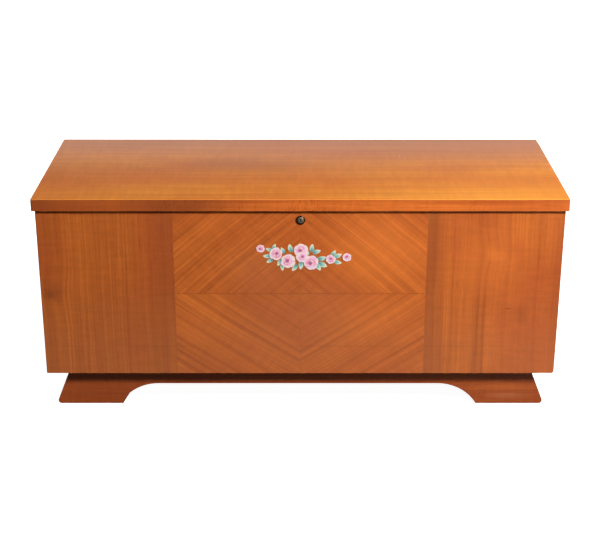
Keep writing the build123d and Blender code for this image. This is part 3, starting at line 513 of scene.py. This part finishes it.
def case_woods():
    ends = wood("end_veneer", END_TONES, "Z", seed=4.1)
    rail = wood("base_rail", BASE_TONES, "X", seed=6.6, roughness=0.38, marks=(
        # painted highlight: a pale streak low on the right foot and an amber patch above it lighten
        # that foot
        blot((0.50, RAIL_Y, 0.020), (0.070, THROUGH, 0.013), PALE_SCRATCH_AND_HIGHLIGHT, 0.06),
        blot((0.48, RAIL_Y, 0.045), (0.120, THROUGH, 0.030), AMBER, 0.10)))
    side_rail = wood("base_side_rail", BASE_TONES, "Y", seed=7.4, roughness=0.38)
    bare = {"roughness": 0.62, "coat": 0.0, "pores": 0.3, "curl": 0.04}
    pale = wood("plain_board", PALE_TONES, "X", seed=3.3, **bare)
    cross = wood("plain_cross_board", PALE_TONES, "Y", seed=3.9, **bare)
    back = wood("back_board", BACK_TONES, "X", seed=2.2, **bare)
    table = {"left_end_veneer": ends, "right_end_veneer": ends, "back_wall": back, "lid_core": back}
    table.update({name: rail for name in ("front_base_rail", "rear_base_rail")})
    table.update({name: side_rail for name in ("left_base_rail", "right_base_rail")})
    table.update({name: pale for name in ("front_core", "bottom_panel")})
    table.update({
        name: cross
        for name in ("left_end_core", "right_end_core", "bottom_battens", "base_corner_blocks")})
    return table


WALL_BOARDS = 3
FLOOR_BOARDS = 4
LID_BOARDS = 3


def cedar_woods():
    """Cedar boards, each with its own figure and tone."""
    low, high = LINING_LOW[2], LINING_HIGH[2]
    wall = ("Z", low, (high - low) / WALL_BOARDS)
    floor_boards = ("Y", FLOOR_LOW[1], (FLOOR_HIGH[1] - FLOOR_LOW[1]) / FLOOR_BOARDS)
    lid_boards = ("Y", PANEL_LOW[1], (PANEL_HIGH[1] - PANEL_LOW[1]) / LID_BOARDS)
    look = {
        "layers": BOLD, "roughness": 0.55, "coat": 0.0, "bend": 0.06, "pores": 0.3, "curl": 0.04}
    long_wall = wood("cedar_long_wall", CEDAR_TONES, "X", seed=8.2, boards=wall, **look)
    short_wall = wood("cedar_short_wall", CEDAR_TONES, "Y", seed=9.1, boards=wall, **look)
    return {
        "lining_front": long_wall,
        "lining_back": long_wall,
        "lining_left": short_wall,
        "lining_right": short_wall,
        "lining_floor": wood(
            "cedar_floor", CEDAR_TONES, "X", seed=3.7, boards=floor_boards, **look),
        "lid_lining": wood("cedar_lid", CEDAR_TONES, "X", seed=6.1, boards=lid_boards, **look),
        "lid_lining_frame": wood("cedar_fillet", CEDAR_TONES, "X", seed=1.9, **look),
    }


def metal_materials():
    """Which metal each fitting wears."""
    steel = base_metal("zinc_steel", *ZINC, 0.34, 80.0, 0.5, "Y", metallic=0.75)
    brass = base_metal("hinge_brass", *BRASS, 0.30, 90.0, 0.6, metallic=0.8)
    bronze = base_metal("lock_bronze", *BRONZE, 0.34, 300.0, 0.7)
    nickel = base_metal("worn_nickel", *NICKEL, 0.26, 350.0, 0.8, metallic=0.7)
    plug = base_metal("plug_nickel", *NICKEL, 0.26, 350.0, 0.8, metallic=0.7, painted_slot_shade=True)
    table = {"lock_bezel": bronze, "lock_button": nickel, "key_plug": plug, "lid_seal": felt()}
    for name in frame["nodes"]:
        if name in table:
            continue
        if "hinge" in name or name in ("lock_cover", "strike_plate"):
            table[name] = brass
        elif "stay" in name or "screws" in name or name == "lock_spring":
            table[name] = steel
    return table


# ---- easing of edges ------------------------------------------------------------------------
RAIL_EASE = 0.0008
EASE_SEGMENTS = 2
EASE_ANGLE = math.radians(40)     # edges sharper than this are rounded


def ease(name, width):
    """Rounds the sharp edges of a frame piece a little, as a finished piece is."""
    bevel = frame["nodes"][name].modifiers.new("ease", "BEVEL")
    bevel.width = width
    bevel.segments = EASE_SEGMENTS
    bevel.limit_method = "ANGLE"
    bevel.angle_limit = EASE_ANGLE


def dress():
    """Gives every frame piece its material and eases the base rails' edges."""
    table = {**front_woods(), **lid_woods(), **case_woods(), **cedar_woods(), **metal_materials()}
    for name, piece in frame["nodes"].items():
        if name in table:
            piece.data.materials.clear()
            piece.data.materials.append(table[name])
    for name in ("front_base_rail", "rear_base_rail", "left_base_rail", "right_base_rail"):
        ease(name, RAIL_EASE)


# ---- painted spray --------------------------------------------------------------------------
# roses: place from the centre line and below the rim, and radius
ROSES = (
    (-0.091, 0.092, 0.0102), (-0.056, 0.105, 0.0160), (0.002, 0.097, 0.0170),
    (0.004, 0.113, 0.0140), (-0.028, 0.123, 0.0175), (0.025, 0.126, 0.0180),
    (0.070, 0.118, 0.0120), (0.107, 0.113, 0.0105))
# leaves: place from the centre line and below the rim, length, and which way the tip points
LEAVES = (
    (-0.060, 0.087, 0.015, 60), (-0.071, 0.094, 0.017, 165), (-0.076, 0.111, 0.020, 175),
    (-0.070, 0.123, 0.017, 205), (-0.040, 0.097, 0.018, 115), (-0.022, 0.091, 0.022, 105),
    (-0.047, 0.126, 0.020, 235), (-0.040, 0.137, 0.020, 265), (-0.013, 0.139, 0.020, 235),
    (0.000, 0.133, 0.022, 270), (0.027, 0.091, 0.021, 85), (0.038, 0.100, 0.020, 20),
    (0.015, 0.105, 0.016, 50), (0.050, 0.115, 0.022, 10), (0.052, 0.131, 0.024, 335),
    (0.041, 0.137, 0.022, 300), (0.076, 0.103, 0.017, 50), (0.086, 0.111, 0.022, 30),
    (0.086, 0.125, 0.020, 345))
FILM_STEP = 0.000012          # each brush stroke lies this much in front of the one before
FILM_THICK = 0.00004
CREAM, WHITE, BLUSH = (0.86, 0.64, 0.50), (0.80, 0.64, 0.71), (0.80, 0.46, 0.57)
PINK, ROSE = (0.77, 0.31, 0.42), (0.72, 0.18, 0.31)
MAUVE, WINE = (0.44, 0.14, 0.27), (0.22, 0.05, 0.11)
TEAL, PALE_TEAL = (0.12, 0.36, 0.32), (0.36, 0.60, 0.50)
BLUE, LEAF_TIP = (0.07, 0.16, 0.28), (0.78, 0.72, 0.50)


def blend(colours, place):
    """A colour at a place from 0 to 1 along a list of colours."""
    place = min(max(place, 0.0), 0.9999) * (len(colours) - 1)
    index = int(place)
    part = place - index
    return tuple(a + (b - a) * part for a, b in zip(colours[index], colours[index + 1]))


class Film:
    """Collects flat painted strokes, each a small grid of coloured points on the front."""

    def __init__(self):
        self.points, self.faces, self.colours = [], [], []
        self.strokes = 0

    def stroke(self, rows, columns, place, tint):
        """Adds a grid; place(u, v) gives X and Z, tint(u, v) a colour, for u and v from 0 to 1."""
        self.strokes += 1
        depth = FRONT_Y - FILM_THICK - FILM_STEP * self.strokes
        first = len(self.points)
        for i in range(rows + 1):
            for j in range(columns + 1):
                u, v = i / rows, j / columns
                x, z = place(u, v)
                self.points.append((x, depth, z))
                self.colours.append((*tint(u, v), 1.0))
        for i in range(rows):
            for j in range(columns):
                a = first + i * (columns + 1) + j
                self.faces.append((a, a + columns + 1, a + columns + 2, a + 1))

    def petal(self, base, angle, length, spread, colours, rng):
        """A broad petal that fans out from its base to a wavy round edge."""
        phase, shade = rng.uniform(0, 6), rng.uniform(-0.24, 0.10)

        def place(u, v):
            side = 2 * v - 1
            turn = angle + side * spread * (0.55 + 0.45 * u)
            reach = length * u * (1 - 0.16 * side ** 4 + 0.035 * math.sin(phase + 8 * v))
            return base.x + reach * math.cos(turn), base.y + reach * math.sin(turn)

        def tint(u, v):
            crease = 0.45 * abs(2 * v - 1) ** 5
            return blend(colours, u - crease + shade)

        self.stroke(7, 9, place, tint)

    def heart(self, centre, radius, colours):
        """A dark round heart that fades outwards."""
        def place(u, v):
            turn = 2 * math.pi * v
            reach = radius * (0.05 + 0.95 * u) * (1 + 0.08 * math.sin(3 * turn))
            return centre[0] + reach * math.cos(turn), centre[1] + reach * math.sin(turn)

        self.stroke(4, 20, place, lambda u, v: blend(colours, u + 0.15 * math.sin(6.3 * v)))

    def leaf(self, x, z, length, degrees, rng):
        """A pointed leaf with a dark midrib, bluish at its base and cream at its tip."""
        angle = math.radians(degrees)
        along = Vector((math.cos(angle), math.sin(angle)))
        across = Vector((-along.y, along.x))
        start = Vector((x, z)) - along * (length / 2)
        curve, base = rng.uniform(-0.08, 0.08), rng.choice((BLUE, TEAL, BLUE))

        def place(u, v):
            side = 2 * v - 1
            half = 0.25 * length * math.sin(math.pi * u ** 0.85) ** 0.8
            bow = curve * length * math.sin(math.pi * u)
            point = start + along * (length * u) + across * (half * side + bow)
            return point.x, point.y

        def tint(u, v):
            side = 2 * v - 1
            colour = blend((base, TEAL, PALE_TEAL, LEAF_TIP), u + 0.22 * abs(side) + 0.06 * side)
            rib = max(0.0, 1 - abs(side) * 5) * (1 - u) * 0.6
            return tuple(c * (1 - rib) + b * rib for c, b in zip(colour, BLUE))

        self.stroke(8, 8, place, tint)

    def rose(self, x, z, radius, rng):
        """An open rose: outer, middle and inner petals round a heart set off its centre."""
        lean = rng.uniform(0, 2 * math.pi)
        off = Vector((math.cos(lean), math.sin(lean))) * (0.14 * radius)
        centre = Vector((x, z))
        eye = centre + off
        rings = (
            (6, 1.00, 0.66, (ROSE, PINK, BLUSH, WHITE, CREAM)),
            (5, 0.76, 0.74, (MAUVE, ROSE, PINK, BLUSH, WHITE)),
            (4, 0.50, 0.90, (WINE, MAUVE, PINK, BLUSH, WHITE)))
        for level, (count, reach, spread, colours) in enumerate(rings):
            middle = centre + off * (0.5 * level)
            turn = rng.uniform(0, 2 * math.pi)
            for i in range(count):
                angle = turn + 2 * math.pi * i / count + rng.uniform(-0.12, 0.12)
                length = radius * reach * rng.uniform(0.92, 1.0)
                self.petal(middle, angle, length, spread, colours, rng)
        self.heart(eye, 0.26 * radius, (WINE, MAUVE, MAUVE, ROSE))

    def build(self, name):
        """Makes one thin closed mesh of all the strokes."""
        mesh = bpy.data.meshes.new(name)
        mesh.from_pydata(self.points, [], self.faces)
        layer = mesh.color_attributes.new("paint", "FLOAT_COLOR", "POINT")
        for item, colour in zip(layer.data, self.colours):
            item.color = colour
        piece = bpy.data.objects.new(name, mesh)
        bpy.context.scene.collection.objects.link(piece)
        solid = piece.modifiers.new("film", "SOLIDIFY")
        solid.thickness = FILM_THICK
        solid.offset = 0.0
        return piece


def paint():
    """Enamel print under lacquer, with its colours painted into the mesh."""
    graph = Graph("rose_print")
    attribute = graph.nodes.new("ShaderNodeVertexColor")
    attribute.layer_name = "paint"
    brush = graph.noise(graph.scaled(graph.position(), (900.0, 900.0, 900.0)), detail=3.0)
    tint = graph.ramp(brush, 0.3, 0.7, 0.93, 1.05)
    colour = graph.mix(1.0, attribute.outputs["Color"], graph.join(tint, tint, tint), "MULTIPLY")
    graph.set(Base_Color=colour, Roughness=0.42, IOR=1.45, Coat_Weight=0.15, Coat_Roughness=0.2)
    graph.bump(brush, distance=0.00002, strength=0.5)
    return graph.material


def rose_spray():
    rng = random.Random(11)
    film = Film()
    for x, below, length, degrees in LEAVES:
        film.leaf(x, RIM_Z - below, length, degrees, rng)
    for x, below, radius in ROSES:
        film.rose(x, RIM_Z - below, radius, rng)
    piece = film.build("rose_spray")
    piece.data.materials.append(paint())
    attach(piece, "chest")
    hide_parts("rose_decal")


# ---- lock spring ----------------------------------------------------------------------------
SPRING_TURNS = 4.5
SPRING_WIRE = 0.0004          # radius
SPRING_STEPS = 28             # rings of points in one turn
WIRE_SIDES = 8


def coil(name, low, high):
    """A wire helix along Y that fills a box between two corners, closed at both ends."""
    centre = (Vector(low) + Vector(high)) / 2
    radius = (high[0] - low[0]) / 2 - SPRING_WIRE
    start, reach = low[1] + SPRING_WIRE, high[1] - low[1] - 2 * SPRING_WIRE
    rings = int(SPRING_TURNS * SPRING_STEPS) + 1
    rise = reach / (2 * math.pi * SPRING_TURNS)
    points, faces = [], []
    for i in range(rings):
        turn = 2 * math.pi * SPRING_TURNS * i / (rings - 1)
        out = Vector((math.cos(turn), 0.0, math.sin(turn)))
        along = Vector((-radius * out.z, rise, radius * out.x)).normalized()
        middle = Vector((centre.x, start + rise * turn, centre.z)) + radius * out
        for j in range(WIRE_SIDES):
            side = 2 * math.pi * j / WIRE_SIDES
            spoke = math.cos(side) * out + math.sin(side) * out.cross(along)
            points.append(middle + SPRING_WIRE * spoke)
    for i in range(rings - 1):
        for j in range(WIRE_SIDES):
            a, b = i * WIRE_SIDES + j, i * WIRE_SIDES + (j + 1) % WIRE_SIDES
            faces.append((a, b, b + WIRE_SIDES, a + WIRE_SIDES))
    faces.append(tuple(reversed(range(WIRE_SIDES))))
    faces.append(tuple(range((rings - 1) * WIRE_SIDES, rings * WIRE_SIDES)))
    mesh = bpy.data.meshes.new(name)
    mesh.from_pydata([tuple(point) for point in points], [], faces)
    mesh.shade_smooth()
    piece = bpy.data.objects.new(name, mesh)
    bpy.context.scene.collection.objects.link(piece)
    return piece


def lock_spring():
    """The lock's spring, drawn as a coil at rest length; it is not made to shorten as the button
    goes in.
    """
    low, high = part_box("lock_spring")
    piece = coil("coil_spring", low, high)
    piece.data.materials.append(frame["nodes"]["lock_spring"].data.materials[0])
    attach(piece, "chest")
    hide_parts("lock_spring")
    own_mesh(piece)


# ---- studio ---------------------------------------------------------------------------------
CAMERA_X = -0.0006
CAMERA_OUT = 2.907            # in front of the lid's front edge
CAMERA_UP = 0.995             # above the lid's top
CAMERA_PITCH = math.radians(21.90)
LENS_MM = 81.70
SENSOR_MM = 36.0
CARD_WIDTH, CARD_DEPTH = 3.0, 0.48
WALL_RADIUS, WALL_HEIGHT = 19.0, 30.0
FLOOR_SIZE = 40.0
FLOOR_DROP, WALL_DROP = 0.0005, 0.001    # below the feet, so that no faces coincide
FLOOR_GLOW, WALL_GLOW, CARD_GLOW = 0.95, 1.0, 0.05
FLOOR_GREYS = (0.52, 0.52, 0.52), (0.56, 0.56, 0.56)
BLACK, WHITE_GLOW = (0.0, 0.0, 0.0, 1.0), (1.0, 1.0, 1.0, 1.0)
DOME_RISE = (0.50, 0.95)      # upward share of the direction over which the dome brightens
DOME_POWER = (0.02, 0.50)
DOME_COLOUR = (1.0, 0.97, 0.93, 1.0)
# lights: name, place, what they aim at, size, power, whether the camera sees them
LIGHTS = (
    ("key", (1.9, -1.9, 2.45), (0.1, -0.1, 0.35), (0.6, 0.6), 188.0, True),
    ("low_fill", (1.6, -2.6, 0.5), (0.0, -0.2, 0.10), (0.8, 0.5), 9.0, False),
    ("fill", (-1.6, -2.2, 2.6), (0.0, 0.0, 0.30), (1.4, 1.4), 9.0, True),
    ("rear_fill", (0.3, 2.2, 3.2), (0.0, 0.2, 0.30), (1.6, 1.2), 20.0, True),
    ("rear_strip", (0.0, 0.84, 0.72), (0.0, 0.0, 0.53), (2.6, 0.10), 0.66, False),
    ("low_rear", (0.5, 2.8, 0.36), (0.0, 0.0, 0.30), (2.0, 0.30), 26.0, False),
    ("low_left", (-2.8, 0.5, 0.36), (0.0, 0.2, 0.30), (1.2, 0.30), 10.0, False))


def area_light(name, place, aim, size, power, seen):
    """A rectangular lamp that points at a place."""
    data = bpy.data.lights.new(name, "AREA")
    data.shape = "RECTANGLE"
    data.size, data.size_y = size
    data.energy = power
    light = bpy.data.objects.new(name, data)
    light.location = place
    light.rotation_euler = (Vector(aim) - Vector(place)).to_track_quat("-Z", "Y").to_euler()
    light.visible_camera = seen
    bpy.context.scene.collection.objects.link(light)


def floor():
    """A near-white floor, which glows so that shadows on it stay faint."""
    graph = Graph("studio_floor")
    grit = graph.noise(graph.position(), scale=3.0, detail=2.0)
    graph.set(Base_Color=graph.mix(grit, *FLOOR_GREYS), Roughness=0.9, Specular_IOR_Level=0.0)
    graph.set(Emission_Color=WHITE_GLOW, Emission_Strength=FLOOR_GLOW)
    bpy.ops.mesh.primitive_plane_add(size=FLOOR_SIZE, location=(0.0, 0.0, LOW_Z - FLOOR_DROP))
    plane = bpy.context.object
    plane.name = "studio_floor"
    plane.data.materials.append(graph.material)
    plane.visible_diffuse = False
    plane.visible_glossy = False


def backdrop():
    """A white wall all round, so that no view shows a dark horizon.

    It is left out of reflections, of diffuse light and of shadows.
    """
    graph = Graph("studio_backdrop")
    graph.set(Base_Color=BLACK, Emission_Color=WHITE_GLOW, Emission_Strength=WALL_GLOW)
    bpy.ops.mesh.primitive_cylinder_add(
        vertices=96, radius=WALL_RADIUS, depth=WALL_HEIGHT, end_fill_type="NOTHING",
        location=(0.0, 0.0, LOW_Z - WALL_DROP + WALL_HEIGHT / 2))
    wall = bpy.context.object
    wall.name = "studio_backdrop"
    wall.data.materials.append(graph.material)
    wall.visible_diffuse = wall.visible_glossy = wall.visible_shadow = False


def reflecting_card():
    """A dim card on the floor in front, seen only as a haze low on the polished front."""
    graph = Graph("studio_card")
    graph.set(Base_Color=BLACK, Emission_Color=WHITE_GLOW, Emission_Strength=CARD_GLOW)
    bpy.ops.mesh.primitive_plane_add(size=1.0, location=(0.0, FRONT_Y - CARD_DEPTH / 2, LOW_Z))
    card = bpy.context.object
    card.name = "studio_card"
    card.scale = (CARD_WIDTH, CARD_DEPTH, 1.0)
    card.data.materials.append(graph.material)
    card.visible_camera = card.visible_diffuse = card.visible_shadow = False


def world():
    """A soft dome, bright overhead and dim near the horizon."""
    scene = bpy.context.scene
    scene.world = bpy.data.worlds.new("studio_world")
    scene.world.use_nodes = True
    nodes, links = scene.world.node_tree.nodes, scene.world.node_tree.links
    coordinates = nodes.new("ShaderNodeTexCoord")
    axes = nodes.new("ShaderNodeSeparateXYZ")
    ramp = nodes.new("ShaderNodeMapRange")
    ramp.interpolation_type = "SMOOTHSTEP"
    for socket, number in zip(list(ramp.inputs)[1:5], (*DOME_RISE, *DOME_POWER)):
        socket.default_value = number
    links.new(coordinates.outputs["Generated"], axes.inputs[0])
    links.new(axes.outputs[2], ramp.inputs[0])
    links.new(ramp.outputs[0], nodes["Background"].inputs["Strength"])
    nodes["Background"].inputs["Color"].default_value = DOME_COLOUR


def camera():
    data = bpy.data.cameras.new("camera")
    data.sensor_width = SENSOR_MM
    data.lens = LENS_MM
    view = bpy.data.objects.new("camera", data)
    view.location = (CAMERA_X, LOW_Y - CAMERA_OUT, HIGH_Z + CAMERA_UP)
    view.rotation_euler = (math.radians(90) - CAMERA_PITCH, 0.0, 0.0)
    bpy.context.scene.collection.objects.link(view)
    bpy.context.scene.camera = view


def lights():
    for light in LIGHTS:
        area_light(*light)
    bpy.context.scene.view_settings.view_transform = "Standard"


dress()
rose_spray()
lock_spring()
floor()
backdrop()
reflecting_card()
world()
camera()
lights()
